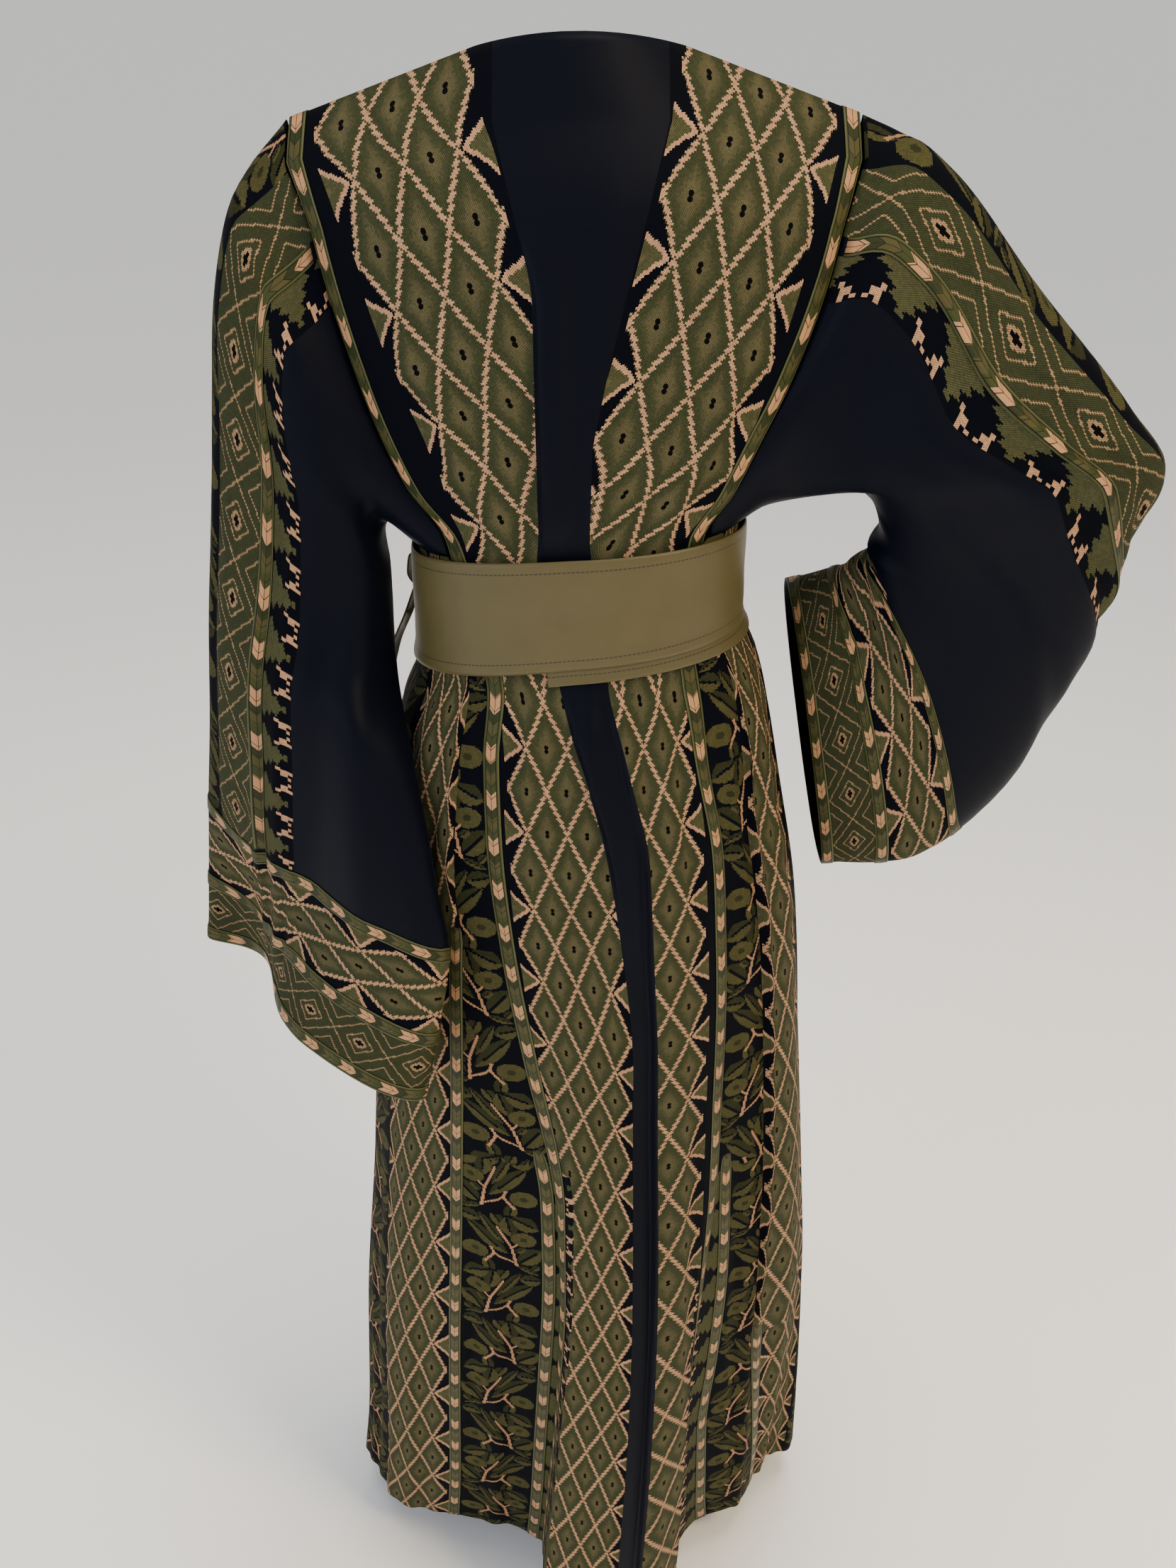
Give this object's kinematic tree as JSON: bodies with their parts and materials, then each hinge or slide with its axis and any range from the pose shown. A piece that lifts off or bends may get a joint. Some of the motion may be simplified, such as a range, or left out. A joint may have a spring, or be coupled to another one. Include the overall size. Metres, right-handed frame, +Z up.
{
  "type": "palestinian thobe dress",
  "caption": "Long open-necked dress with wide sleeves, embroidered bands edged with braid, and a belt wrapped round the waist and tied at the side.",
  "frame": {"origin": "on the wearer's shoulders, at the centre of the back of the neckline", "axes": "+Z up the body, -Y out of the dress's back, +X towards the bent sleeve"},
  "size_m": [0.7648, 0.4677, 1.5004],
  "materials": {
    "embroidered_cloth": "black crepe with cross-stitch in olive and peach",
    "braid_tape": "satin-stitched braid between piped edges",
    "belt_satin": "olive satin"
  },
  "bodies": {
    "root": {"back_panel": "embroidered_cloth", "front_bodice": "embroidered_cloth", "front_skirt": "embroidered_cloth", "side_panel_left": "embroidered_cloth", "side_panel_right": "embroidered_cloth", "sleeve_left": "embroidered_cloth", "sleeve_right": "embroidered_cloth", "belt": "belt_satin", "belt_wrap": "belt_satin", "tie_knot": "belt_satin", "tie_loop_upper": "belt_satin", "tie_loop_lower": "belt_satin", "tie_end": "belt_satin", "seam_braid_back_left": "braid_tape", "seam_braid_back_right": "braid_tape", "seam_braid_front_left": "braid_tape", "seam_braid_front_right": "braid_tape", "leaf_braid_back_left": "braid_tape", "leaf_braid_back_right": "braid_tape", "leaf_braid_front_left": "braid_tape", "leaf_braid_front_right": "braid_tape", "side_braid_back_left": "braid_tape", "side_braid_back_right": "braid_tape", "side_braid_front_left": "braid_tape", "side_braid_front_right": "braid_tape", "sleeve_braid_back_left": "braid_tape", "sleeve_braid_back_right": "braid_tape", "sleeve_braid_front_left": "braid_tape", "sleeve_braid_front_right": "braid_tape", "cuff_braid_edge_left": "braid_tape", "cuff_braid_edge_right": "braid_tape", "cuff_braid_middle_left": "braid_tape", "cuff_braid_middle_right": "braid_tape", "cuff_braid_inner_left": "braid_tape", "cuff_braid_inner_right": "braid_tape"}
  },
  "joints": []
}
